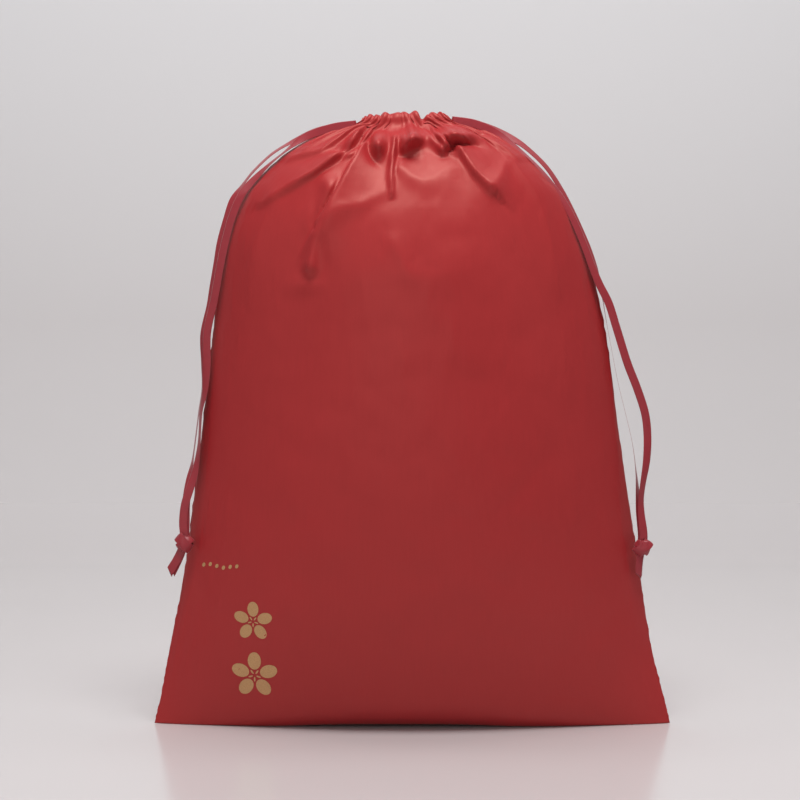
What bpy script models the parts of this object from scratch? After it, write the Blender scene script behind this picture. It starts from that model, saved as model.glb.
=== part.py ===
"""Satin drawstring pouch, filled out and standing on its bottom seam, mouth drawn shut.

The cloth body is one closed solid. Its casing is the gathered band at the top. Two flat ribbons run
in the casing; at each side both strands of one ribbon come out, hang down the edge and end in a knot.
+X is right, +Y is the back, +Z is up, and the origin is on the floor under the middle.
"""

import math

import bmesh
import bpy
from mathutils import Matrix, Vector

MM = 0.001

# Body: height, left edge, right edge, depth in front and behind, and how sharp its side edges are.
# A sharpness of 2 is a flat lens with pointed ends, 1 is an ellipse. All lengths in millimetres.
BODY_STATIONS = [
    (0.0, -191.0, 191.0, 33.0, 2.0),
    (2.5, -191.5, 191.5, 35.0, 2.0),
    (20.0, -188.5, 188.0, 40.0, 1.9),
    (60.0, -182.5, 178.5, 51.0, 1.7),
    (110.0, -172.5, 170.5, 61.0, 1.6),
    (165.0, -164.5, 161.5, 68.0, 1.55),
    (225.0, -157.0, 152.5, 72.0, 1.6),
    (285.0, -150.5, 144.5, 72.0, 1.7),
    (340.0, -143.5, 133.5, 69.0, 1.7),
    (373.0, -136.5, 122.5, 63.0, 1.7),
    (396.0, -126.0, 111.0, 54.0, 1.6),
    (410.0, -114.0, 99.5, 46.0, 1.5),
    (421.0, -101.0, 86.5, 37.0, 1.4),
    (429.0, -89.0, 75.0, 29.0, 1.3),
    (436.0, -74.0, 60.0, 20.0, 1.2),
    (440.5, -58.0, 44.0, 14.5, 1.1),
    (443.5, -42.0, 28.0, 11.5, 0.9),
    (447.0, -40.5, 26.0, 12.0, 0.7),
    (453.0, -40.5, 26.0, 12.0, 0.7),
    (456.5, -39.5, 25.0, 11.0, 0.7),
    (458.0, -37.0, 22.5, 8.5, 0.7),
]
SECTION_POINTS = 72
STEPS_BETWEEN = 2
PLEATS = 12
PLEAT_DEPTH = 0.05
PLEAT_START = 380.0
PLEAT_FULL = 436.0

# Drawstrings: flat satin ribbon.
RIBBON_WIDTH = 6.0 * MM
RIBBON_THICKNESS = 0.8 * MM
POINT_SPACING = 13.0 * MM

# Routes from the casing to the knot, in millimetres: x, y, z, and the angle in degrees that the flat
# side turns from facing outwards, 0, to facing the front, 90.
LEFT_FRONT_ROUTE = [
    (-42.5, -6.0, 449.6, 85),
    (-57.5, -5.5, 447.9, 82),
    (-72.0, -5.0, 443.9, 78),
    (-84.0, -4.6, 438.6, 60),
    (-94.5, -4.4, 430.6, 20),
    (-108.0, -4.6, 419.6, 25),
    (-121.5, -6.0, 405.8, 62),
    (-128.6, -7.6, 396.0, 72),
    (-135.2, -8.6, 380.0, 74),
    (-139.8, -9.0, 363.0, 74),
    (-143.3, -9.2, 347.0, 74),
    (-146.2, -9.2, 331.0, 74),
    (-148.9, -9.0, 317.0, 76),
    (-153.6, -8.6, 295.0, 82),
    (-153.9, -8.7, 272.0, 76),
    (-155.4, -8.9, 252.0, 48),
    (-158.5, -8.6, 236.0, 28),
    (-159.8, -10.0, 213.0, 26),
    (-162.5, -11.8, 193.0, 55),
    (-167.0, -13.4, 179.0, 82),
    (-171.2, -14.2, 167.0, 88),
    (-172.9, -14.6, 155.0, 90),
    (-172.4, -14.8, 142.9, 90),
]
LEFT_BACK_ROUTE = [
    (-42.5, 6.0, 449.6, 85),
    (-57.5, 4.0, 448.6, 80),
    (-72.0, 2.2, 445.2, 70),
    (-84.0, 2.3, 440.6, 45),
    (-95.5, 2.1, 435.0, 14),
    (-106.8, 1.4, 427.6, 14),
    (-119.4, 0.6, 415.6, 14),
    (-128.0, 0.0, 404.6, 25),
    (-134.8, -2.2, 394.0, 55),
    (-139.3, -3.9, 379.0, 66),
    (-143.8, -4.8, 362.0, 70),
    (-146.4, -5.0, 346.0, 70),
    (-149.2, -5.0, 330.0, 70),
    (-151.6, -5.2, 315.0, 70),
    (-156.4, -5.2, 294.0, 66),
    (-156.8, -4.0, 274.0, 45),
    (-157.6, -2.8, 254.0, 22),
    (-160.6, -2.6, 236.0, 15),
    (-162.9, -3.0, 218.0, 15),
    (-165.6, -5.0, 200.0, 20),
    (-169.5, -8.5, 184.0, 60),
    (-172.6, -11.2, 168.0, 86),
    (-173.6, -12.2, 155.0, 90),
    (-172.4, -12.6, 142.9, 90),
]
RIGHT_FRONT_ROUTE = [
    (28.5, -6.0, 452.6, 85),
    (44.0, -5.5, 450.6, 82),
    (58.0, -5.0, 445.4, 78),
    (69.0, -4.6, 438.4, 50),
    (82.0, -4.4, 428.4, 25),
    (95.0, -4.6, 415.6, 30),
    (107.0, -5.4, 400.0, 45),
    (115.0, -6.6, 387.0, 55),
    (121.6, -7.6, 373.0, 60),
    (127.8, -8.0, 358.0, 60),
    (133.4, -8.2, 343.0, 66),
    (138.4, -8.4, 331.0, 74),
    (145.4, -8.4, 317.0, 82),
    (151.0, -8.4, 299.5, 84),
    (159.3, -8.5, 273.0, 86),
    (166.9, -8.5, 253.5, 88),
    (172.8, -8.5, 235.0, 88),
    (174.7, -8.5, 218.0, 86),
    (174.6, -9.4, 200.0, 85),
    (172.4, -10.4, 183.5, 85),
    (170.6, -11.4, 171.0, 86),
    (170.2, -12.0, 160.0, 88),
    (170.6, -12.4, 148.4, 90),
]
RIGHT_BACK_ROUTE = [
    (28.5, 6.0, 452.6, 85),
    (44.0, 4.0, 451.2, 80),
    (58.0, 3.0, 447.2, 70),
    (72.5, 3.0, 440.8, 30),
    (84.5, 2.6, 433.0, 14),
    (99.4, 1.8, 418.6, 14),
    (110.6, 0.8, 401.4, 18),
    (118.6, -0.7, 385.5, 35),
    (125.0, -2.0, 371.0, 50),
    (130.8, -3.2, 357.0, 50),
    (136.4, -3.4, 341.0, 40),
    (140.6, -3.0, 325.0, 20),
    (144.4, -2.0, 303.0, 14),
    (148.6, -2.0, 281.0, 14),
    (153.4, -2.0, 257.0, 14),
    (158.8, -3.0, 235.0, 14),
    (164.2, -4.5, 212.0, 16),
    (167.2, -6.5, 191.0, 24),
    (168.6, -8.4, 174.0, 65),
    (169.8, -9.6, 161.0, 86),
    (170.6, -10.0, 148.4, 90),
]

# Knots, in mm and degrees: middle, how far the ribbon ends swing from straight down towards +X, half
# size of the lump, and the wrap that crosses its front.
LEFT_KNOT_MIDDLE = (-172.0, -13.6, 134.5)
LEFT_TAIL_SWING = -25.0
RIGHT_KNOT_MIDDLE = (171.3, -11.2, 140.0)
RIGHT_TAIL_SWING = 4.0
KNOT_HALF_SIZE = (6.2, 4.6, 8.0)
WRAP_RADIUS = 5.4
WRAP_THICKNESS = 2.5
WRAP_TILT = 32.0
WRAP_FLATTENING = (1.0, 0.8, 1.1)
TAIL_LENGTH = 21.0
TAIL_THICKNESS = 1.8

SATIN_RED = (0.30, 0.028, 0.029, 1.0)
RIBBON_RED = (0.27, 0.024, 0.028, 1.0)
SATIN_ROUGHNESS = 0.42
RIBBON_ROUGHNESS = 0.38


def clear_scene():
    for thing in list(bpy.data.objects):
        bpy.data.objects.remove(thing, do_unlink=True)


def satin(name, colour, roughness):
    material = bpy.data.materials.new(name)
    material.use_nodes = True
    shader = material.node_tree.nodes["Principled BSDF"]
    shader.inputs["Base Color"].default_value = colour
    shader.inputs["Roughness"].default_value = roughness
    shader.inputs["Metallic"].default_value = 0.0
    return material


def add_object(name, data, material):
    thing = bpy.data.objects.new(name, data)
    data.materials.append(material)
    bpy.context.scene.collection.objects.link(thing)
    return thing


def between(a, b, c, d, t):
    """A smooth curve from b to c, with a and d as its neighbours."""
    low = (c - a) * 0.5
    high = (d - b) * 0.5
    return (
        b
        + low * t
        + (3 * (c - b) - 2 * low - high) * t**2
        + (2 * (b - c) + low + high) * t**3
    )


def smooth_rows(rows, steps):
    """The rows as vectors, with steps points for each stretch between two of them."""
    rows = [Vector(row) for row in rows]
    found = []
    for i in range(len(rows) - 1):
        before = rows[max(i - 1, 0)]
        after = rows[min(i + 2, len(rows) - 1)]
        for k in range(steps):
            found.append(between(before, rows[i], rows[i + 1], after, k / steps))
    found.append(rows[-1])
    return found


def section(station):
    """One level outline of the body, as points round it from the right edge."""
    height, left, right, depth, sharpness = station
    fade = min(max((height - PLEAT_START) / (PLEAT_FULL - PLEAT_START), 0.0), 1.0)
    points = []
    for i in range(SECTION_POINTS):
        angle = 2 * math.pi * i / SECTION_POINTS
        side = abs(math.sin(angle)) ** sharpness
        pleat = 1 + PLEAT_DEPTH * fade * math.cos(2 * PLEATS * angle) * side
        x = (left + right) / 2 + (right - left) / 2 * math.cos(angle)
        y = math.copysign(depth * side * pleat, math.sin(angle))
        points.append(Vector((x, y, height)) * MM)
    return points


def make_body(material):
    bm = bmesh.new()
    rings = []
    for station in smooth_rows(BODY_STATIONS, STEPS_BETWEEN):
        ring = [bm.verts.new(point) for point in section(station)]
        edges = [bm.edges.new((ring[i - 1], ring[i])) for i in range(len(ring))]
        rings.append(edges)
    for lower, upper in zip(rings, rings[1:]):
        bmesh.ops.bridge_loops(bm, edges=lower + upper)
    for edges in (rings[0], rings[-1]):
        bmesh.ops.triangle_fill(bm, edges=edges, use_beauty=True)
    bmesh.ops.recalc_face_normals(bm, faces=bm.faces)
    mesh = bpy.data.meshes.new("pouch_body")
    bm.to_mesh(mesh)
    bm.free()
    mesh.shade_smooth()
    mesh.set_sharp_from_angle(angle=math.radians(50))
    return add_object("pouch_body", mesh, material)


def spaced_route(route):
    """Points at an even spacing along the smooth route, each with its turn in degrees."""
    fine = smooth_rows([(x * MM, y * MM, z * MM, turn) for x, y, z, turn in route], 12)
    along = [0.0]
    for a, b in zip(fine, fine[1:]):
        along.append(along[-1] + (b.xyz - a.xyz).length)
    count = round(along[-1] / POINT_SPACING)
    found = []
    k = 0
    for i in range(count + 1):
        wanted = along[-1] * i / count
        while k < len(along) - 2 and along[k + 1] < wanted:
            k += 1
        share = (wanted - along[k]) / (along[k + 1] - along[k])
        found.append(fine[k].lerp(fine[k + 1], share))
    return found


def make_strand(name, route, side, material):
    """A flat ribbon as a curve that follows the route. side is -1 at the left and 1 at the right."""
    points = spaced_route(route)
    curve = bpy.data.curves.new(name, "CURVE")
    curve.dimensions = "3D"
    curve.twist_mode = "Z_UP"
    curve.bevel_depth = RIBBON_THICKNESS / 2
    curve.extrude = (RIBBON_WIDTH - RIBBON_THICKNESS) / 2
    curve.bevel_resolution = 2
    curve.use_fill_caps = True
    spline = curve.splines.new("POLY")
    spline.points.add(len(points) - 1)
    for i, point in enumerate(points):
        before = points[max(i - 1, 0)].xyz
        after = points[min(i + 1, len(points) - 1)].xyz
        heading = (after - before).normalized()
        spline.points[i].co = (*point.xyz, 1)
        spline.points[i].tilt = strand_tilt(heading, math.radians(point.w), side)
    return add_object(name, curve, material)


def strand_tilt(heading, turn, side):
    """The tilt that makes the flat side face outwards at a turn of 0 and the front at 90 degrees."""
    outwards = Vector((-heading.z * side, 0, heading.x * side)).normalized()
    front = Vector((0, -1, 0))
    front -= heading * front.dot(heading)
    front.normalize()
    faces = outwards * math.cos(turn) + front * math.sin(turn)
    width = heading.cross(faces).normalized()
    upright = Vector((0, 0, 1))
    upright -= heading * heading.z
    upright.normalize()
    return math.atan2(width.dot(heading.cross(upright)), width.dot(upright))


def add_union(thing, other):
    cut = thing.modifiers.new("union", "BOOLEAN")
    cut.operation = "UNION"
    cut.solver = "EXACT"
    cut.object = other
    other.hide_render = True
    other.display_type = "WIRE"


def mesh_from(bm, name):
    bmesh.ops.recalc_face_normals(bm, faces=bm.faces)
    mesh = bpy.data.meshes.new(name)
    bm.to_mesh(mesh)
    bm.free()
    mesh.shade_smooth()
    return mesh


def make_knot(name, middle, swing, material):
    """An overhand knot: a tight lump, a wrap across its front, and the ribbon ends below it."""
    place = Matrix.Translation(Vector(middle) * MM)
    lump = bmesh.new()
    bmesh.ops.create_uvsphere(lump, u_segments=20, v_segments=14, radius=1.0)
    half_size = Matrix.Diagonal((*(Vector(KNOT_HALF_SIZE) * MM), 1))
    bmesh.ops.transform(lump, matrix=place @ half_size, verts=lump.verts)
    knot = add_object(name, mesh_from(lump, name), material)

    wrap = bmesh.new()
    bmesh.ops.create_circle(wrap, segments=12, radius=WRAP_THICKNESS * MM, cap_ends=False)
    stand = Matrix.Translation((WRAP_RADIUS * MM, 0, 0)) @ Matrix.Rotation(math.pi / 2, 4, "X")
    bmesh.ops.transform(wrap, matrix=stand, verts=wrap.verts)
    bmesh.ops.spin(
        wrap,
        geom=wrap.verts[:] + wrap.edges[:],
        cent=(0, 0, 0),
        axis=(0, 0, 1),
        angle=2 * math.pi,
        steps=24,
        use_merge=True,
    )
    tilt = Matrix.Rotation(math.radians(WRAP_TILT), 4, "Y")
    flatten = Matrix.Diagonal((*WRAP_FLATTENING, 1))
    bmesh.ops.transform(wrap, matrix=place @ tilt @ flatten, verts=wrap.verts)
    wrap_cutter = add_object(name + "_wrap_shape", mesh_from(wrap, name + "_wrap"), material)
    add_union(knot, wrap_cutter)

    tail = bmesh.new()
    bmesh.ops.create_cube(tail, size=1.0)
    size = Matrix.Diagonal((RIBBON_WIDTH, TAIL_THICKNESS * MM, TAIL_LENGTH * MM, 1))
    hang = Matrix.Rotation(math.radians(-swing), 4, "Y") @ Matrix.Translation((0, 0, -TAIL_LENGTH * MM / 2))
    bmesh.ops.transform(tail, matrix=place @ hang @ size, verts=tail.verts)
    tail_cutter = add_object(name + "_tail_shape", mesh_from(tail, name + "_tail"), material)
    add_union(knot, tail_cutter)
    return knot


def main():
    clear_scene()
    body_satin = satin("polyester_satin", SATIN_RED, SATIN_ROUGHNESS)
    ribbon_satin = satin("satin_ribbon", RIBBON_RED, RIBBON_ROUGHNESS)
    make_body(body_satin)
    make_strand("left_strand_front", LEFT_FRONT_ROUTE, -1, ribbon_satin)
    make_strand("left_strand_back", LEFT_BACK_ROUTE, -1, ribbon_satin)
    make_strand("right_strand_front", RIGHT_FRONT_ROUTE, 1, ribbon_satin)
    make_strand("right_strand_back", RIGHT_BACK_ROUTE, 1, ribbon_satin)
    make_knot("left_knot", LEFT_KNOT_MIDDLE, LEFT_TAIL_SWING, ribbon_satin)
    make_knot("right_knot", RIGHT_KNOT_MIDDLE, RIGHT_TAIL_SWING, ribbon_satin)


main()
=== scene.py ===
"""Looks of a red satin drawstring pouch: cloth, gathers, ribbons, knots, seams and print."""

import math
import random

import bmesh
import bpy
from mathutils import Matrix, Vector, noise
from mathutils.bvhtree import BVHTree


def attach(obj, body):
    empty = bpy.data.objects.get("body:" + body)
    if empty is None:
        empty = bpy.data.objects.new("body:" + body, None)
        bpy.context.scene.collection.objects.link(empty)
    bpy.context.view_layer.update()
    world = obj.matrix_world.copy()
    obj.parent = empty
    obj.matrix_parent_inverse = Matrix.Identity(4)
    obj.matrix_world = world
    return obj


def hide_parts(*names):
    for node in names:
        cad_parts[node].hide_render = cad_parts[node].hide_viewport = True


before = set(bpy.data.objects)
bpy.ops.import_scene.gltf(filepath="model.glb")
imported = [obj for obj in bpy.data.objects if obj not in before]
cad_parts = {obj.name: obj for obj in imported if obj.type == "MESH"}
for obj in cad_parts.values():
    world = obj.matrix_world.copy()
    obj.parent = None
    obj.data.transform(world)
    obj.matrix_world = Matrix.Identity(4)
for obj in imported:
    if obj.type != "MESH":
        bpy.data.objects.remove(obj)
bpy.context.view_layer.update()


# ---- Camera: a long lens a little above the middle of the pouch, square to its front.
CAMERA_AWAY = 1.417
CAMERA_RISE = 2.5
VIEW_MIDDLE = Vector((-0.010, 0.0, 0.2445))

lens = bpy.data.cameras.new("studio_camera")
lens.lens = 85
lens.sensor_width = 36
lens.clip_start = 0.05
lens.clip_end = 20
camera = bpy.data.objects.new("studio_camera", lens)
bpy.context.scene.collection.objects.link(camera)
rise = math.radians(CAMERA_RISE)
camera.location = VIEW_MIDDLE + CAMERA_AWAY * Vector((0, -math.cos(rise), math.sin(rise)))
camera.rotation_euler = (math.pi / 2 - rise, 0, 0)
bpy.context.scene.camera = camera
bpy.context.scene.view_settings.view_transform = "Standard"


# ---- Drawstrings: flat polyester satin ribbon, 6 mm wide, woven with a firm edge. Two strands come
# out of each end of the casing, follow the shoulder and the side, and hang free to their knot.
MM = 0.001
RIBBON_WIDTH = 6.0 * MM
RIBBON_THICKNESS = 0.35 * MM
RIBBON_STEP = 2.5 * MM
INTO_KNOT = 6.0 * MM
# Each route point: x, y, z in metres, and how far the flat side turns from outwards to the front, in
# degrees. INTO_KNOT is how far each ribbon runs on into its knot.
ROUTES = {
    "left_strand_front": [
        (-0.0425, -0.0060, 0.4496, 85),
        (-0.0575, -0.0055, 0.4479, 82),
        (-0.0720, -0.0050, 0.4439, 78),
        (-0.0840, -0.0046, 0.4386, 60),
        (-0.0945, -0.0044, 0.4306, 20),
        (-0.1080, -0.0046, 0.4196, 25),
        (-0.1215, -0.0060, 0.4058, 62),
        (-0.1286, -0.0076, 0.3960, 72),
        (-0.1352, -0.0086, 0.3800, 74),
        (-0.1398, -0.0090, 0.3630, 74),
        (-0.1433, -0.0092, 0.3470, 74),
        (-0.1462, -0.0092, 0.3310, 74),
        (-0.1489, -0.0090, 0.3170, 76),
        (-0.1536, -0.0086, 0.2950, 82),
        (-0.1539, -0.0087, 0.2720, 76),
        (-0.1554, -0.0089, 0.2520, 48),
        (-0.1585, -0.0086, 0.2360, 28),
        (-0.1598, -0.0100, 0.2130, 26),
        (-0.1625, -0.0118, 0.1930, 55),
        (-0.1665, -0.0134, 0.1790, 82),
        (-0.1702, -0.0142, 0.1670, 88),
        (-0.1715, -0.0146, 0.1550, 90),
        (-0.1710, -0.0148, 0.1460, 90),
    ],
    "left_strand_back": [
        (-0.0425, 0.0060, 0.4496, 85),
        (-0.0575, 0.0040, 0.4486, 80),
        (-0.0720, 0.0022, 0.4452, 70),
        (-0.0840, 0.0023, 0.4406, 45),
        (-0.0955, 0.0021, 0.4350, 24),
        (-0.1068, 0.0014, 0.4276, 22),
        (-0.1194, 0.0006, 0.4156, 22),
        (-0.1280, 0.0000, 0.4046, 25),
        (-0.1348, -0.0022, 0.3940, 55),
        (-0.1393, -0.0039, 0.3790, 66),
        (-0.1438, -0.0048, 0.3620, 70),
        (-0.1464, -0.0050, 0.3460, 70),
        (-0.1492, -0.0050, 0.3300, 70),
        (-0.1516, -0.0052, 0.3150, 70),
        (-0.1564, -0.0052, 0.2940, 66),
        (-0.1568, -0.0040, 0.2740, 45),
        (-0.1576, -0.0028, 0.2540, 22),
        (-0.1606, -0.0026, 0.2360, 15),
        (-0.1629, -0.0030, 0.2180, 15),
        (-0.1652, -0.0050, 0.2000, 20),
        (-0.1677, -0.0085, 0.1840, 60),
        (-0.1696, -0.0112, 0.1680, 86),
        (-0.1698, -0.0122, 0.1550, 90),
        (-0.1700, -0.0126, 0.1460, 90),
    ],
    "right_strand_front": [
        (0.0285, -0.0060, 0.4526, 85),
        (0.0440, -0.0055, 0.4506, 82),
        (0.0580, -0.0050, 0.4454, 78),
        (0.0690, -0.0046, 0.4384, 50),
        (0.0820, -0.0044, 0.4284, 25),
        (0.0950, -0.0046, 0.4156, 30),
        (0.1070, -0.0054, 0.4000, 45),
        (0.1150, -0.0066, 0.3870, 55),
        (0.1216, -0.0076, 0.3730, 60),
        (0.1278, -0.0080, 0.3580, 60),
        (0.1334, -0.0082, 0.3430, 66),
        (0.1384, -0.0084, 0.3310, 74),
        (0.1454, -0.0084, 0.3170, 82),
        (0.1510, -0.0084, 0.2995, 84),
        (0.1593, -0.0085, 0.2730, 86),
        (0.1669, -0.0085, 0.2535, 88),
        (0.1728, -0.0085, 0.2350, 88),
        (0.1747, -0.0085, 0.2180, 86),
        (0.1740, -0.0094, 0.2000, 70),
        (0.1714, -0.0104, 0.1835, 52),
        (0.1698, -0.0114, 0.1710, 50),
        (0.1700, -0.0120, 0.1600, 64),
        (0.1716, -0.0124, 0.1460, 86),
    ],
    "right_strand_back": [
        (0.0285, 0.0060, 0.4526, 85),
        (0.0440, 0.0040, 0.4512, 80),
        (0.0580, 0.0030, 0.4472, 70),
        (0.0725, 0.0030, 0.4408, 55),
        (0.0845, 0.0026, 0.4330, 40),
        (0.0994, 0.0018, 0.4186, 38),
        (0.1106, 0.0008, 0.4014, 42),
        (0.1186, -0.0007, 0.3855, 46),
        (0.1250, -0.0020, 0.3710, 50),
        (0.1308, -0.0032, 0.3570, 50),
        (0.1364, -0.0034, 0.3410, 40),
        (0.1406, -0.0030, 0.3250, 16),
        (0.1444, -0.0020, 0.3030, 8),
        (0.1486, -0.0020, 0.2810, 6),
        (0.1534, -0.0020, 0.2570, 6),
        (0.1588, -0.0030, 0.2350, 6),
        (0.1640, -0.0045, 0.2120, 8),
        (0.1666, -0.0065, 0.1910, 16),
        (0.1678, -0.0084, 0.1740, 40),
        (0.1690, -0.0096, 0.1610, 70),
        (0.1706, -0.0100, 0.1460, 86),
    ],
}


def linear(hex_colour):
    """An sRGB hex colour as the linear numbers that a shader takes."""
    values = [int(hex_colour[i : i + 2], 16) / 255 for i in (1, 3, 5)]
    return (*[v / 12.92 if v < 0.04045 else ((v + 0.055) / 1.055) ** 2.4 for v in values], 1.0)


def node(tree, kind, settings=(), links=()):
    """Adds a node. settings are (name or socket, value); links are (input, output socket)."""
    added = tree.nodes.new(kind)
    for name, value in settings:
        if isinstance(name, str) and hasattr(added, name):
            setattr(added, name, value)
        else:
            added.inputs[name].default_value = value
    for name, source in links:
        tree.links.new(source, added.inputs[name])
    return added


def new_material(name):
    """An empty material with its output, and that output's surface socket."""
    material = bpy.data.materials.new(name)
    material.use_nodes = True
    tree = material.node_tree
    tree.nodes.clear()
    return material, tree, node(tree, "ShaderNodeOutputMaterial")


def between(a, b, c, d, t):
    """A smooth curve from b to c, with a and d as its neighbours."""
    low = (c - a) * 0.5
    high = (d - b) * 0.5
    bend = 3 * (c - b) - 2 * low - high
    return b + low * t + bend * t**2 + (2 * (b - c) + low + high) * t**3


def smooth_rows(rows, steps):
    """The rows as vectors, with steps points for each stretch between two of them."""
    rows = [Vector(row) for row in rows]
    found = []
    for i in range(len(rows) - 1):
        before = rows[max(i - 1, 0)]
        after = rows[min(i + 2, len(rows) - 1)]
        found += [between(before, rows[i], rows[i + 1], after, k / steps) for k in range(steps)]
    return found + [rows[-1]]


def spaced(rows, spacing):
    """Points at an even spacing along a row of 4-number points."""
    fine = smooth_rows(rows, 24)
    along = [0.0]
    for a, b in zip(fine, fine[1:]):
        along.append(along[-1] + (b.xyz - a.xyz).length)
    count = max(2, round(along[-1] / spacing))
    found = []
    k = 0
    for i in range(count + 1):
        wanted = along[-1] * i / count
        while k < len(along) - 2 and along[k + 1] < wanted:
            k += 1
        share = (wanted - along[k]) / (along[k + 1] - along[k])
        found.append(fine[k].lerp(fine[k + 1], share))
    return found, along[-1]


def link(name, bm, material, smooth=True):
    mesh = bpy.data.meshes.new(name)
    bm.to_mesh(mesh)
    bm.free()
    if smooth:
        mesh.shade_smooth()
    mesh.materials.append(material)
    piece = bpy.data.objects.new(name, mesh)
    bpy.context.scene.collection.objects.link(piece)
    return piece


# Places across the ribbon, from edge to edge, and how far its middle stands proud of its edges.
ACROSS = [-1.0, -0.86, -0.5, 0.0, 0.5, 0.86, 1.0]
CROWN = 0.12 * MM


def facing(points, i, side):
    """Which way the ribbon runs and which way its flat side looks, at one of its points."""
    before = points[max(i - 1, 0)].xyz
    after = points[min(i + 1, len(points) - 1)].xyz
    heading = (after - before).normalized()
    outwards = Vector((-heading.z * side, 0, heading.x * side)).normalized()
    front = Vector((0, -1, 0))
    front = (front - heading * front.dot(heading)).normalized()
    turn = math.radians(points[i].w)
    return heading, (outwards * math.cos(turn) + front * math.sin(turn)).normalized()


def ribbon_mesh(points, side, width, thickness):
    """A flat band laid along points, square to the way its flat side looks, with a slight crown."""
    bm = bmesh.new()
    last = len(points) - 1
    bmesh.ops.create_grid(bm, x_segments=last, y_segments=len(ACROSS) - 1, size=0.5)
    uv = bm.loops.layers.uv.new("UVMap")
    for face in bm.faces:
        for loop in face.loops:
            share = ACROSS[round((loop.vert.co.y + 0.5) * (len(ACROSS) - 1))]
            loop[uv].uv = ((loop.vert.co.x + 0.5) * last * RIBBON_STEP, (share + 1) / 2 * width)
    for vert in bm.verts:
        i = round((vert.co.x + 0.5) * last)
        share = ACROSS[round((vert.co.y + 0.5) * (len(ACROSS) - 1))]
        heading, looks = facing(points, i, side)
        wide = heading.cross(looks).normalized()
        vert.co = points[i].xyz + wide * share * width / 2 + looks * (1 - share * share) * CROWN
    bmesh.ops.solidify(bm, geom=bm.faces[:], thickness=thickness)
    bmesh.ops.recalc_face_normals(bm, faces=bm.faces)
    return bm


# Ribbon satin: fine filament threads run along it, so it is glossier than the body's cloth. Its ribs
# are drawn 0.5 mm apart, about twice as coarse as real ones.
RIB_PITCH = 0.5 * MM


def satin_ribbon():
    material, tree, output = new_material("woven_satin_ribbon")
    uv = node(tree, "ShaderNodeTexCoord").outputs["UV"]
    # The wave's own length is 2 pi / 20, so its scale is set from the rib that it stands for.
    threads = node(
        tree,
        "ShaderNodeTexWave",
        [("bands_direction", "Y"), ("Scale", 2 * math.pi / 20 / RIB_PITCH), ("Distortion", 0.4)],
        [("Vector", uv)],
    )
    cloud = node(tree, "ShaderNodeTexNoise", [("Scale", 160.0), ("Detail", 3.0)], [("Vector", uv)])
    shade = node(
        tree,
        "ShaderNodeMix",
        [("data_type", "RGBA"), (6, linear("#8E202B")), (7, linear("#9E2630"))],
        [(0, cloud.outputs["Fac"])],
    )
    bump = node(
        tree,
        "ShaderNodeBump",
        [("Strength", 0.25), ("Distance", 0.04 * MM)],
        [("Height", threads.outputs["Fac"])],
    )
    shader = node(
        tree,
        "ShaderNodeBsdfPrincipled",
        [("Roughness", 0.42), ("Anisotropic", 0.5), ("Sheen Weight", 0.25), ("Sheen Roughness", 0.4)],
        [("Base Color", shade.outputs[2]), ("Normal", bump.outputs[0])],
    )
    tree.links.new(shader.outputs[0], output.inputs["Surface"])
    return material


ribbon_satin = satin_ribbon()
knots = {"left": [], "right": []}
for name, route in ROUTES.items():
    side = -1 if name.startswith("left") else 1
    x, y, z, turn = route[-1]
    points, length = spaced(route + [(x, y, z - INTO_KNOT, turn)], RIBBON_STEP)
    band = ribbon_mesh(points, side, RIBBON_WIDTH, RIBBON_THICKNESS)
    piece = link(name + "_ribbon", band, ribbon_satin)
    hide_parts(name)
    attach(piece, "root")


# ---- Knots: each pair of strands is tied together in one tight overhand knot. The wraps are the
# same ribbon, crushed narrow, and its two ends stick out below, cut slantwise.
KNOT_PLACES = {
    "left": Vector((-0.1706, -0.0136, 0.1386)),
    "right": Vector((0.1712, -0.0112, 0.1350)),
}
# Wraps: turn about the view, turn about the upright, radius, half width and half thickness, in mm.
KNOT_WRAPS = [(44, 0, 5.6, 4.0, 0.45), (-38, 12, 4.9, 3.1, 0.45), (78, -25, 4.6, 2.6, 0.4)]
KNOT_CORE = Vector((3.6, 2.6, 6.4)) * MM
# The knot is pressed flat from front to back, and its wraps are crumpled by up to this much.
KNOT_PRESS = (1.22, 0.82, 1.0)
CRUMPLE = 1.1 * MM
CRUMPLE_GRAIN = 190.0
# Each tail's end from the middle of its knot, in mm, and how far its flat side turns to the front.
TAIL_ENDS = {
    "left": [(-11.2, -1.0, -21.4, 86), (-9.4, 1.2, -21.6, 80)],
    "right": [(-3.2, -1.6, -21.0, 62), (-2.4, 0.6, -20.2, 58)],
}
TAIL_SHARES = (0.15, 0.4, 0.65, 0.85, 1.0)
TAIL_BOW = Vector((0.8, -0.7, 0)) * MM
# The slanted cut starts at this share of the tail's length, and leans by this much.
CUT_FROM = 0.6
CUT_SLANT = 0.7


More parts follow.
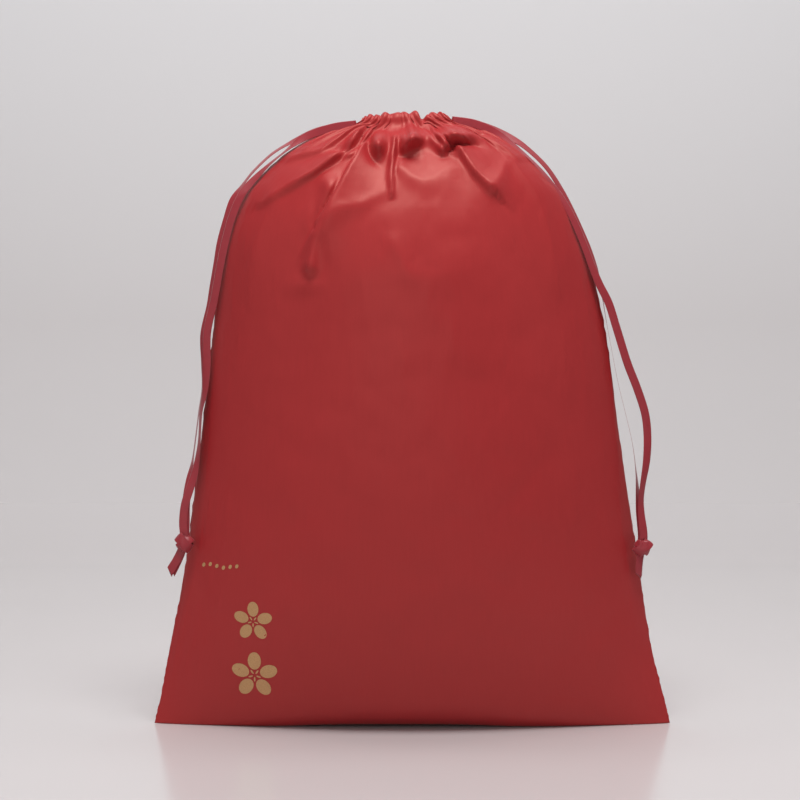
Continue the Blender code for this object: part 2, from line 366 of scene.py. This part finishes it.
def knot_mesh(middle, mirror):
    """Flat wraps spun round a small core, each turned its own way, at the knot's place."""
    bm = bmesh.new()
    bmesh.ops.create_uvsphere(bm, u_segments=24, v_segments=16, radius=1.0)
    bmesh.ops.scale(bm, vec=KNOT_CORE, verts=bm.verts)
    for lean, swing, radius, wide, thick in KNOT_WRAPS:
        before = set(bm.verts)
        ring = bmesh.ops.create_circle(bm, segments=14, radius=1.0)["verts"]
        bmesh.ops.scale(bm, vec=(thick * MM, wide * MM, 1.0), verts=ring)
        bmesh.ops.rotate(bm, matrix=Matrix.Rotation(math.pi / 2, 3, "X"), verts=ring)
        bmesh.ops.translate(bm, vec=(radius * MM, 0, 0), verts=ring)
        edges = [e for e in bm.edges if e.verts[0] in ring and e.verts[1] in ring]
        bmesh.ops.spin(
            bm,
            geom=list(ring) + edges,
            cent=(0, 0, 0),
            axis=(0, 0, 1),
            angle=2 * math.pi,
            steps=40,
            use_merge=True,
        )
        wrap = [vert for vert in bm.verts if vert not in before]
        turned = Matrix.Rotation(math.radians(lean * mirror), 3, "Y")
        turned = turned @ Matrix.Rotation(math.radians(swing), 3, "Z") @ Matrix.Diagonal(KNOT_PRESS)
        for vert in wrap:
            ripple = noise.noise(vert.co * CRUMPLE_GRAIN) * CRUMPLE
            vert.co = turned @ (vert.co * (1 + ripple / (radius * MM)))
    bmesh.ops.translate(bm, vec=middle, verts=bm.verts)
    bmesh.ops.recalc_face_normals(bm, faces=bm.faces)
    return bm


for side_name, middle in KNOT_PLACES.items():
    mirror = 1 if side_name == "left" else -1
    lump = link(side_name + "_knot_wraps", knot_mesh(middle, mirror), ribbon_satin)
    soften = lump.modifiers.new("smooth", "SUBSURF")
    soften.levels = soften.render_levels = 1
    knots[side_name].append(lump)
    for k, (x, y, z, turn) in enumerate(TAIL_ENDS[side_name]):
        end = Vector((x, y, z)) * MM
        bow = TAIL_BOW * Vector((mirror, 1, 1))
        row = [(*(middle + end * share + bow * math.sin(math.pi * share)), turn) for share in TAIL_SHARES]
        points = spaced(row, RIBBON_STEP / 2)[0]
        tail = ribbon_mesh(points, -mirror, RIBBON_WIDTH, RIBBON_THICKNESS)
        way = end.normalized()
        across_tail = way.cross(Vector((0, 1, 0)))
        for vert in tail.verts:
            from_knot = vert.co - middle
            near_end = max(0.0, from_knot.dot(way) / end.length - CUT_FROM) / (1 - CUT_FROM)
            aside = (from_knot - way * from_knot.dot(way)).dot(across_tail)
            vert.co += way * near_end * aside * CUT_SLANT
        knots[side_name].append(link(f"{side_name}_tail_{k + 1}", tail, ribbon_satin))
    for piece in knots[side_name]:
        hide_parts(side_name + "_knot")
        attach(piece, "root")


# ---- Cloth body: two panels of polyester satin, 400 by 525 mm, sewn at the sides and the bottom. The
# top hem is the casing, drawn into fine tucks, and long folds run from it over the shoulders. The
# filling that holds the real pouch up isn't seen, so only the cloth's shape shows it.
PANEL_WIDTH = 0.400
PANEL_LENGTH = 0.525
AROUND = 416
# Height, left edge, right edge, depth, and the sharpness of the side edges, in millimetres.
BODY_STATIONS = [
    (0.3, -195.5, 194.0, 16.0, 1.6),
    (2.5, -195.0, 193.5, 19.5, 1.7),
    (20.0, -190.5, 189.0, 34.0, 1.8),
    (60.0, -183.0, 179.0, 50.0, 1.7),
    (110.0, -173.0, 171.0, 61.5, 1.6),
    (165.0, -165.5, 162.5, 68.0, 1.55),
    (225.0, -158.0, 153.5, 71.5, 1.6),
    (285.0, -151.0, 145.5, 71.5, 1.65),
    (340.0, -144.5, 134.0, 68.5, 1.6),
    (373.0, -136.8, 122.8, 62.5, 1.5),
    (396.0, -126.3, 112.0, 54.0, 1.4),
    (410.0, -115.5, 101.5, 46.5, 1.3),
    (421.0, -104.0, 91.5, 38.5, 1.25),
    (430.0, -93.0, 82.0, 30.5, 1.2),
    (437.0, -81.5, 72.0, 23.0, 1.15),
    (442.5, -69.5, 61.5, 17.0, 1.1),
    (446.5, -58.5, 51.5, 13.5, 1.1),
    (450.2, -46.5, 38.0, 12.0, 1.0),
    (453.8, -40.5, 29.0, 11.5, 0.7),
    (456.8, -38.5, 26.0, 9.5, 0.7),
    (458.0, -38.0, 24.0, 6.8, 0.8),
    (456.5, -36.5, 22.5, 4.0, 0.9),
    (452.0, -35.5, 21.5, 1.8, 1.0),
    (447.0, -35.0, 21.0, 0.0, 1.0),
]
CASING_FOOT = 442.5
BASE_ROWS = 7
# Rows lie this far apart up the cloth, and closer above FINE_FROM, where the folds are sharp.
ROW_STEP = 2.8
FINE_FROM = 405
FINE_SHARE = 0.6
STATION_STEPS = 24


# Folds that hang from the casing: path as x, z in mm from the casing down, the side that slopes
# gently (1 is to the right of the path's way down), the gentle and steep widths, height at each end.
SWAGS = [
    ([(-40, 451), (-60, 441), (-80, 430)], 1, 6.0, 1.8, 2.2, 1.0),
    ([(-38, 448), (-54, 437), (-68, 428), (-92, 424)], 1, 11.0, 2.2, 4.6, 2.0),
    ([(-35, 446), (-47, 429), (-74, 410), (-92, 401), (-112, 390)], 1, 17.0, 2.4, 8.5, 3.0),
    ([(-29, 444), (-40, 423), (-54, 398), (-69, 374)], -1, 30.0, 2.6, 8.5, 7.5),
    ([(-20, 398), (-36, 389), (-54, 383), (-68, 375)], 1, 18.0, 8.0, 1.0, 3.0),
    ([(-9, 415), (-2, 409), (7, 405), (14, 407), (24, 415)], -1, 22.0, 10.0, 2.4, 1.6),
    ([(-70, 370), (-73.5, 356), (-75.5, 343)], 1, 8.0, 5.5, 0.4, 6.0),
    ([(10, 446), (17, 436), (25, 427), (31, 425)], -1, 8.0, 2.0, 5.0, 2.6),
    ([(17, 444), (34, 426), (44, 411), (56, 399)], -1, 24.0, 2.4, 7.0, 6.0),
    ([(68, 424), (64, 411), (58, 400)], 1, 12.0, 7.0, 0.4, 2.4),
    ([(29, 452), (50, 446), (70, 438)], -1, 4.0, 1.6, 2.4, 1.0),
    ([(28, 449), (52, 440), (77, 424)], -1, 8.0, 2.0, 3.4, 1.2),
    ([(74, 420), (90, 400), (100, 370), (106, 330)], -1, 16.0, 9.0, 1.2, 0.8),
    ([(-14, 360), (-4, 340), (12, 335), (34, 342)], -1, 22.0, 12.0, 1.4, 1.0),
    ([(-104, 392), (-118, 360), (-126, 310)], 1, 14.0, 9.0, 1.4, 0.6),
]
# Hollows as narrow valleys: path, half width, depth at each end.
VALLEYS = [
    ([(-14, 438), (-15.5, 422), (-16.5, 404), (-16, 395)], 2.0, 8.0, 3.0),
    ([(-58, 405), (-65, 388), (-70, 374)], 4.5, 1.5, 4.5),
    ([(-2, 446), (2, 437), (-6, 430)], 4.5, 6.0, 6.0),
]
FOLD_STRENGTH = 1.3
# The back has the front's folds, mirrored, moved over and a little wider, in mm and as a share.
BACK_SHIFT = -14.0
BACK_STRETCH = 0.93
# Rounded ends and hollows: x, z, half width, half height, and how far it stands out, in mm.
SWELLS = [
    (-76.0, 330.0, 12.0, 5.0, -1.6),
    (-26.6, 434.5, 7.0, 10.5, -18.0),
    (28.0, 440.0, 15.0, 8.0, -19.0),
    (22.0, 430.0, 4.5, 5.0, -7.0),
    (-3.0, 437.5, 8.0, 6.0, -14.0),
    (-5.0, 440.0, 2.0, 5.0, 4.0),
    (-51.0, 427.0, 7.5, 3.6, -5.0),
    (-63.0, 404.0, 6.0, 8.0, -3.0),
    (40.0, 432.0, 5.0, 3.0, 2.0),
]
# Low waves that the slack leaves all over the panels: size and height.
WAVE_SIZE = 75.0
WAVE_HIGH = 1.9


def along_path(path, x, z):
    """Signed distance to the path in mm, right of its way as positive, and the share along it."""
    best = None
    gone = 0.0
    for (ax, az), (bx, bz) in zip(path, path[1:]):
        run = math.hypot(bx - ax, bz - az)
        share = ((x - ax) * (bx - ax) + (z - az) * (bz - az)) / run**2
        share = min(max(share, 0.0), 1.0)
        dx, dz = x - ax - share * (bx - ax), z - az - share * (bz - az)
        away = math.hypot(dx, dz)
        sign = 1 if (bx - ax) * dz - (bz - az) * dx < 0 else -1
        if best is None or away < best[0]:
            best = (away, sign, gone + share * run)
        gone += run
    return best[0] * best[1], best[2] / gone


def fold_height(x, z, front):
    """How far the folds lift the cloth at x, z, in mm. A fold climbs gently to its crease, then drops."""
    if not front:
        x = BACK_SHIFT - x * BACK_STRETCH
    lift = 0.0
    for path, gentle_side, gentle, steep, start_high, end_high in SWAGS:
        away, share = along_path(path, x, z)
        wider = 0.6 + 0.5 * share
        high = start_high + (end_high - start_high) * share
        if away * gentle_side > 0:
            lift += high * max(0.0, 1 - abs(away) / (gentle * wider)) ** 1.6
        else:
            lift += high * math.exp(-((away / (steep * wider)) ** 2))
    for path, half_wide, start_deep, end_deep in VALLEYS:
        away, share = along_path(path, x, z)
        lift -= (start_deep + (end_deep - start_deep) * share) * math.exp(-((away / half_wide) ** 2))
    for at_x, at_z, half_wide, half_high, high in SWELLS:
        lift += high * math.exp(-(((x - at_x) / half_wide) ** 2) - ((z - at_z) / half_high) ** 2)
    return lift * FOLD_STRENGTH


def body_rows():
    """The stations at an even spacing up the cloth, base rows first."""
    fine = []
    rows = BODY_STATIONS
    for i in range(len(rows) - 1):
        before, after = rows[max(i - 1, 0)], rows[min(i + 2, len(rows) - 1)]
        for k in range(STATION_STEPS):
            t = k / STATION_STEPS
            fine.append([between(*four, t) for four in zip(before, rows[i], rows[i + 1], after)])
    fine.append(list(rows[-1]))
    height, left, right, depth, sharpness = fine[0]
    base = [[height, left, right, depth * k / BASE_ROWS, 2.0] for k in range(BASE_ROWS)]
    even = [fine[0]]
    gone = 0.0
    for a, b in zip(fine, fine[1:]):
        gone += math.hypot(b[0] - a[0], b[3] - a[3])
        step = ROW_STEP if b[0] < FINE_FROM else ROW_STEP * FINE_SHARE
        if gone >= step:
            even.append(b)
            gone = 0.0
    if even[-1] is not fine[-1]:
        even[-1] = fine[-1]
    return base + even


random.seed(7)
TUCKS = 13
tuck_shift = [random.uniform(-0.22, 0.22) for _ in range(2 * TUCKS + 2)]
tuck_high = [random.uniform(0.65, 1.25) for _ in range(2 * TUCKS + 2)]


def tuck(turn):
    """The wave of the gathered casing at a turn from 0 to 1 round it: rounded outside, sharp inside."""
    at = turn * 2 * TUCKS
    k = int(at)
    shift = tuck_shift[k] + (tuck_shift[k + 1] - tuck_shift[k]) * (at - k)
    high = tuck_high[k] + (tuck_high[k + 1] - tuck_high[k]) * (at - k)
    return high * (abs(math.sin(math.pi * (at + shift))) ** 0.7 * 2 - 1.2)


def place_cloth(turn, station):
    """The point of the cloth at a turn from 0 to 1 round it, on one station. Lengths are in mm."""
    height, left, right, depth, sharpness = station
    angle = math.pi + 2 * math.pi * turn
    sine, cosine = math.sin(angle), math.cos(angle)
    x = (left + right) / 2 + (right - left) / 2 * cosine
    side = abs(sine) ** sharpness
    y = math.copysign(depth * side, sine)
    z = height
    front = sine < 0
    inner = depth < 8 and height > CASING_FOOT
    # The front's bottom edge is lifted a little in the middle, where the cloth bellies out.
    if front and height < 26:
        z += 2.4 * math.exp(-(((x + 12) / 78) ** 4)) * (1 - height / 26) * side
    # Side seams: the stitches pucker the cloth beside them.
    from_seam = min(abs(turn - 0.5), turn, 1 - turn) * 2 * PANEL_WIDTH / MM
    if from_seam < 14 and 4 < height < 440:
        pucker = noise.noise(Vector((height * 0.13, 5.0 * round(turn * 2), 0.0)))
        x += math.copysign(1.3 * pucker * math.exp(-from_seam / 5), cosine)
        y += 0.9 * noise.noise(Vector((height * 0.11, 20.0, 0.0))) * math.exp(-from_seam / 6)
    # Low waves all over, calm at the base, at the seams and near the casing.
    rise = min(max((height - 330) / 100, 0), 1)
    if not inner:
        wave_at = Vector((x / WAVE_SIZE, height / WAVE_SIZE * 0.8, 3.0 if front else 9.0))
        calm = min(height / 60, 1) * min(side * 2.0, 1) * (1 - min(max((height - 400) / 30, 0), 1))
        y += math.copysign(WAVE_HIGH * calm * noise.fractal(wave_at, 0.9, 2.1, 3), sine)
    # Folds stand out from the cloth, and higher up they lift it too.
    if 250 < height and not inner:
        fade = min(max((height - 250) / 50, 0), 1) * min(side * 2.2, 1)
        fade *= 1 - 0.8 * min(max(0, (height - 440) / 10), 1)
        lift = fold_height(x, height, front) * fade
        y += math.copysign(lift * (1 - 0.35 * rise if lift > 0 else 1.0), sine)
        z += max(lift, 0) * 0.5 * rise
    # Gathers: the casing's tucks grow from nothing above the shoulders.
    if height > 415 or inner:
        reach = min(max((height - 415) / 33, 0), 1) ** 1.5
        if inner:
            reach = depth / 8
        wave = tuck(turn) * reach * min(side * 1.6, 1)
        y += math.copysign(1.8 * wave, sine)
        z += 0.8 * wave * (1.5 if height > 455 else 1)
        x += 0.5 * wave * cosine
    # The casing's top edge droops to its ends, with one notch right of the middle.
    if height > 444:
        share = min((height - 444) / 12, 1)
        fall = 2.0 * min(max((-14 - x) / 20, 0), 1)
        fall += 2.4 * max((-35 - x) / 5, 0) * max((height - 452) / 6, 0)
        fall += 2.2 * max((x - 20) / 7, 0) ** 1.5 * max((height - 450) / 8, 0)
        fall += 4.8 * math.exp(-(((x - 6.9) / 2.6) ** 2)) - 0.8 * math.exp(-(((x - 0.8) / 2.8) ** 2))
        z -= share * fall
        z += share * 1.3 * noise.noise(Vector((x * 0.17, 3.0 if front else 8.0, 0.0)))
    return Vector((x, y, z)) * MM


# The settling run: frames, pressure from within, stiffness in bending, and the furthest move allowed.
SIM_FRAMES = 14
SIM_PRESSURE = 0.5
SIM_BEND = 0.4
MOST_MOVE = 5.0 * MM


def slack_at(height, topmost):
    """How much wider the cloth was cut than the space it fills, at a height in mm."""
    if topmost:
        return 0.0
    rise = min(max((height - 250) / 190, 0), 1)
    return 0.008 + 0.10 * rise**1.8


stations = body_rows()
cloth = bmesh.new()
bmesh.ops.create_grid(cloth, x_segments=AROUND, y_segments=len(stations) - 1, size=0.5)
side_layer = cloth.faces.layers.int.new("panel")
flat_uv = cloth.loops.layers.uv.new("UVMap")
for face in cloth.faces:
    face[side_layer] = 0 if face.calc_center_median().x < 0 else 1
    for loop in face.loops:
        share_up = loop.vert.co.y + 0.5
        loop[flat_uv].uv = ((loop.vert.co.x + 0.5) * 2 * PANEL_WIDTH, share_up * PANEL_LENGTH)
held = cloth.verts.layers.float.new("held")
cut = cloth.verts.layers.float_vector.new("cut")
for vert in cloth.verts:
    turn = vert.co.x + 0.5
    row = round((vert.co.y + 0.5) * (len(stations) - 1))
    height = stations[row][0]
    topmost = row > len(stations) - 30 and height > CASING_FOOT + 2
    vert.co = place_cloth(turn, stations[row])
    gain = 1 + slack_at(height, topmost)
    middle = (stations[row][1] + stations[row][2]) / 2 * MM
    seam = min(abs(turn - 0.5), turn, 1 - turn) < 0.012
    vert[cut] = (middle + (vert.co.x - middle) * gain, vert.co.y * gain, vert.co.z)
    vert[held] = 1.0 if topmost or seam or row <= BASE_ROWS + 1 else 0.0
bmesh.ops.remove_doubles(cloth, verts=cloth.verts, dist=0.00002)
bmesh.ops.recalc_face_normals(cloth, faces=cloth.faces)


def settle(cloth):
    """Fills the cloth out and lets its slack fold, with the casing and the base held."""
    mesh = bpy.data.meshes.new("cloth_to_settle")
    cloth.to_mesh(mesh)
    body = bpy.data.objects.new("cloth_to_settle", mesh)
    bpy.context.scene.collection.objects.link(body)
    body.shape_key_add(name="start")
    pattern = body.shape_key_add(name="pattern")
    cloth.verts.ensure_lookup_table()
    layer = cloth.verts.layers.float_vector["cut"]
    hold = cloth.verts.layers.float["held"]
    group = body.vertex_groups.new(name="held")
    for vert in cloth.verts:
        pattern.data[vert.index].co = vert[layer]
        if vert[hold] > 0:
            group.add([vert.index], vert[hold], "REPLACE")
    pattern.value = 0.0
    simulated = body.modifiers.new("settle", "CLOTH")
    settings = simulated.settings
    settings.quality = 6
    settings.mass = 0.12
    settings.air_damping = 2.0
    settings.tension_stiffness = 20
    settings.compression_stiffness = 20
    settings.shear_stiffness = 6
    settings.bending_stiffness = SIM_BEND
    settings.tension_damping = 8
    settings.compression_damping = 8
    settings.bending_damping = 1.0
    settings.use_pressure = True
    settings.uniform_pressure_force = SIM_PRESSURE
    settings.vertex_group_mass = "held"
    settings.rest_shape_key = pattern
    settings.effector_weights.gravity = 0.0
    simulated.collision_settings.use_collision = False
    simulated.collision_settings.use_self_collision = False
    scene = bpy.context.scene
    simulated.point_cache.frame_end = SIM_FRAMES
    for number in range(1, SIM_FRAMES + 1):
        scene.frame_set(number)
    shaped = body.evaluated_get(bpy.context.evaluated_depsgraph_get()).to_mesh()
    for vert in cloth.verts:
        move = shaped.vertices[vert.index].co - vert.co
        if move.length > MOST_MOVE:
            move *= MOST_MOVE / move.length
        vert.co += move
    scene.frame_set(1)
    bpy.data.objects.remove(body)
    bpy.data.meshes.remove(mesh)


settle(cloth)


def body_satin():
    """Woven satin: a faint cloud in its red, and fine slubs that run up the cloth."""
    material, tree, output = new_material("polyester_satin")
    uv = node(tree, "ShaderNodeTexCoord").outputs["UV"]
    spot = node(tree, "ShaderNodeTexCoord").outputs["Object"]
    cloud = node(tree, "ShaderNodeTexNoise", [("Scale", 9.0), ("Detail", 4.0)], [("Vector", spot)])
    stretch = node(tree, "ShaderNodeMapping", [("Scale", (1.0, 0.06, 1.0))], [("Vector", uv)])
    slub = node(
        tree,
        "ShaderNodeTexNoise",
        [("Scale", 900.0), ("Detail", 2.0)],
        [("Vector", stretch.outputs[0])],
    )
    base = node(
        tree,
        "ShaderNodeMix",
        [("data_type", "RGBA"), (6, linear("#A3262A")), (7, linear("#AE2B2F"))],
        [(0, cloud.outputs["Fac"])],
    )
    threads = node(
        tree,
        "ShaderNodeMix",
        [("data_type", "RGBA"), ("blend_type", "MULTIPLY"), (0, 0.10)],
        [(6, base.outputs[2]), (7, slub.outputs["Fac"])],
    )
    bump = node(
        tree,
        "ShaderNodeBump",
        [("Strength", 0.18), ("Distance", 0.06 * MM)],
        [("Height", slub.outputs["Fac"])],
    )
    shader = node(
        tree,
        "ShaderNodeBsdfPrincipled",
        [
            ("Roughness", 0.47),
            ("Specular IOR Level", 0.6),
            ("Specular Tint", linear("#FFC9B8")),
            ("Anisotropic", 0.4),
            ("Sheen Weight", 0.15),
            ("Sheen Roughness", 0.3),
            ("Sheen Tint", linear("#F08C78")),
        ],
        [("Base Color", threads.outputs[2]), ("Normal", bump.outputs[0])],
    )
    tree.links.new(shader.outputs[0], output.inputs["Surface"])
    return material


cloth_satin = body_satin()
CLOTH_THICKNESS = 0.3 * MM


def half_of(source, wanted, name):
    """The faces of one panel as an object with its cloth thickness."""
    half = source.copy()
    layer = half.faces.layers.int["panel"]
    gone = [face for face in half.faces if face[layer] != wanted]
    bmesh.ops.delete(half, geom=gone, context="FACES")
    piece = link(name, half, cloth_satin)
    wall = piece.modifiers.new("cloth_thickness", "SOLIDIFY")
    wall.thickness = CLOTH_THICKNESS
    wall.offset = -1
    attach(piece, "root")
    return piece


front_panel = half_of(cloth, 0, "front_panel_satin")
back_panel = half_of(cloth, 1, "back_panel_satin")
cloth.free()
for panel in (front_panel, back_panel):
    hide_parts("pouch_body")


# ---- Print: a small blossom above a larger one, and a row of dots by the edge, stamped on the front
# in matt gold ink that lies a little unevenly on the weave.
PRINT_LIFT = 0.12 * MM
INK_THICKNESS = 0.04 * MM


def gold_ink():
    material, tree, output = new_material("matt_gold_ink")
    spot = node(tree, "ShaderNodeTexCoord").outputs["Object"]
    grain = node(tree, "ShaderNodeTexNoise", [("Scale", 1400.0), ("Detail", 2.0)], [("Vector", spot)])
    shade = node(
        tree,
        "ShaderNodeMix",
        [("data_type", "RGBA"), (6, linear("#AC7F54")), (7, linear("#D2A470"))],
        [(0, grain.outputs["Fac"])],
    )
    bump = node(
        tree,
        "ShaderNodeBump",
        [("Strength", 0.3), ("Distance", 0.05 * MM)],
        [("Height", grain.outputs["Fac"])],
    )
    shader = node(
        tree,
        "ShaderNodeBsdfPrincipled",
        [("Roughness", 0.55), ("Metallic", 0.2)],
        [("Base Color", shade.outputs[2]), ("Normal", bump.outputs[0])],
    )
    tree.links.new(shader.outputs[0], output.inputs["Surface"])
    return material


def spot_shape(bm, x, z, half_wide, half_high, lean, segments=20):
    """A filled oval on the plane y = 0, leaning by an angle in radians."""
    made = bmesh.ops.create_circle(bm, cap_ends=True, cap_tris=True, segments=segments, radius=1.0)["verts"]
    turn = Matrix.Rotation(math.pi / 2, 4, "X")
    place = Matrix.Translation((x, 0, z)) @ Matrix.Rotation(lean, 4, "Y")
    bmesh.ops.transform(bm, matrix=place @ turn @ Matrix.Diagonal((half_wide, half_high, 1, 1)), verts=made)


def blossom(bm, x, z, size):
    """Five petals round five short stamens that point between them."""
    for k in range(5):
        petal = 2 * math.pi * k / 5
        out = size * 0.60
        at = (x + out * math.sin(petal), z + out * math.cos(petal))
        spot_shape(bm, *at, size * 0.27, size * 0.36, petal)
        stamen = petal + 0.63
        out = size * 0.17
        at = (x + out * math.sin(stamen), z + out * math.cos(stamen))
        spot_shape(bm, *at, size * 0.035, size * 0.10, stamen, 10)


# Each blossom's x, z and size.
BLOSSOMS = [(-0.1180, 0.0830, 0.0155), (-0.1175, 0.0420, 0.0185)]
DOTS = 6
DOT_START = (-0.1560, 0.1225)
DOT_PITCH = 5.2 * MM
DOT_SWAY = 0.9 * MM

stamp = bmesh.new()
for x, z, size in BLOSSOMS:
    blossom(stamp, x, z, size)
for k in range(DOTS):
    x = DOT_START[0] + DOT_PITCH * k
    z = DOT_START[1] + DOT_SWAY * math.sin(k * 1.6)
    spot_shape(stamp, x, z, 1.2 * MM, 1.7 * MM, 0.5, 12)
settled = front_panel.evaluated_get(bpy.context.evaluated_depsgraph_get()).to_mesh()
surface = BVHTree.FromPolygons([v.co for v in settled.vertices], [p.vertices for p in settled.polygons])
for vert in stamp.verts:
    hit, normal, face, away = surface.ray_cast(Vector((vert.co.x, -0.5, vert.co.z)), Vector((0, 1, 0)))
    vert.co = hit + (normal if normal.y < 0 else -normal) * PRINT_LIFT
bmesh.ops.recalc_face_normals(stamp, faces=stamp.faces)
for face in stamp.faces:
    if face.normal.y > 0:
        face.normal_flip()
print_piece = link("gold_print", stamp, gold_ink(), smooth=False)
ink = print_piece.modifiers.new("ink_thickness", "SOLIDIFY")
ink.thickness = INK_THICKNESS
ink.offset = 1
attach(print_piece, "root")


# ---- Floor and backdrop: one pale sheet of paper lies on the table and sweeps up behind the pouch, as
# in a studio. Its flat part is faintly glossy.
def paper():
    material, tree, output = new_material("pale_backdrop")
    spot = node(tree, "ShaderNodeTexCoord").outputs["Object"]
    height = node(tree, "ShaderNodeSeparateXYZ", links=[("Vector", spot)]).outputs["Z"]
    # The table is wiped and faintly glossy; the sheet turns matt as it climbs.
    matt = node(
        tree,
        "ShaderNodeMapRange",
        [("From Min", 0.02), ("From Max", 0.30), ("To Min", 0.20), ("To Max", 0.90)],
        [("Value", height)],
    )
    # Painted light: the sheet's colour is painted paler towards its top, standing in for the brighter light
    # that falls there.
    painted_light_climb = node(tree, "ShaderNodeMapRange", [("From Min", 0.30), ("From Max", 0.85)], [("Value", height)])
    shade = node(
        tree,
        "ShaderNodeMix",
        [("data_type", "RGBA"), (6, linear("#D6D1D1")), (7, linear("#EFEDEE"))],
        [(0, painted_light_climb.outputs["Result"])],
    )
    shader = node(
        tree,
        "ShaderNodeBsdfPrincipled",
        [("Specular IOR Level", 0.5)],
        [("Base Color", shade.outputs[2]), ("Roughness", matt.outputs["Result"])],
    )
    tree.links.new(shader.outputs[0], output.inputs["Surface"])
    return material


sweep = bmesh.new()
line = [sweep.verts.new((-3.0, y, 0)) for y in (-2.2, -0.5, 0.6)]
line += [
    sweep.verts.new((-3.0, 0.9 + 0.9 * math.sin(a), 0.9 - 0.9 * math.cos(a)))
    for a in [math.pi / 2 * k / 14 for k in range(15)]
]
line.append(sweep.verts.new((-3.0, 1.8, 3.2)))
edges = [sweep.edges.new(pair) for pair in zip(line, line[1:])]
made = bmesh.ops.extrude_edge_only(sweep, edges=edges)
bmesh.ops.translate(
    sweep, vec=(6.0, 0, 0), verts=[item for item in made["geom"] if isinstance(item, bmesh.types.BMVert)]
)
bmesh.ops.recalc_face_normals(sweep, faces=sweep.faces)
link("pale_sweep", sweep, paper())


# ---- Light: a broad soft box high in front, weaker ones low in front and at the sides, a wide one for
# the backdrop, and an even room.
def soft_box(name, place, aim, power, size):
    light = bpy.data.lights.new(name, "AREA")
    light.shape = "RECTANGLE"
    light.size, light.size_y = size
    light.energy = power
    lamp = bpy.data.objects.new(name, light)
    lamp.location = place
    lamp.rotation_euler = (Vector(aim) - Vector(place)).to_track_quat("-Z", "Y").to_euler()
    bpy.context.scene.collection.objects.link(lamp)


soft_box("top_box", (0.05, -0.50, 1.50), (0, 0.0, 0.38), 15.5, (0.8, 0.45))
soft_box("front_box", (-0.3, -2.2, 0.6), (0, 0, 0.12), 6.0, (1.4, 1.0))
soft_box("right_box", (1.5, -0.9, 0.8), (0, 0, 0.25), 1.5, (0.6, 1.2))
soft_box("left_box", (-1.5, -0.9, 0.8), (0, 0, 0.25), 1.8, (0.6, 1.2))
soft_box("backdrop_box", (0.0, 0.3, 2.9), (0, 1.8, 1.5), 36, (3.4, 0.9))
room = bpy.data.worlds.new("studio_room")
room.use_nodes = True
room.node_tree.nodes["Background"].inputs["Color"].default_value = (0.82, 0.83, 0.85, 1)
room.node_tree.nodes["Background"].inputs["Strength"].default_value = 0.265
bpy.context.scene.world = room
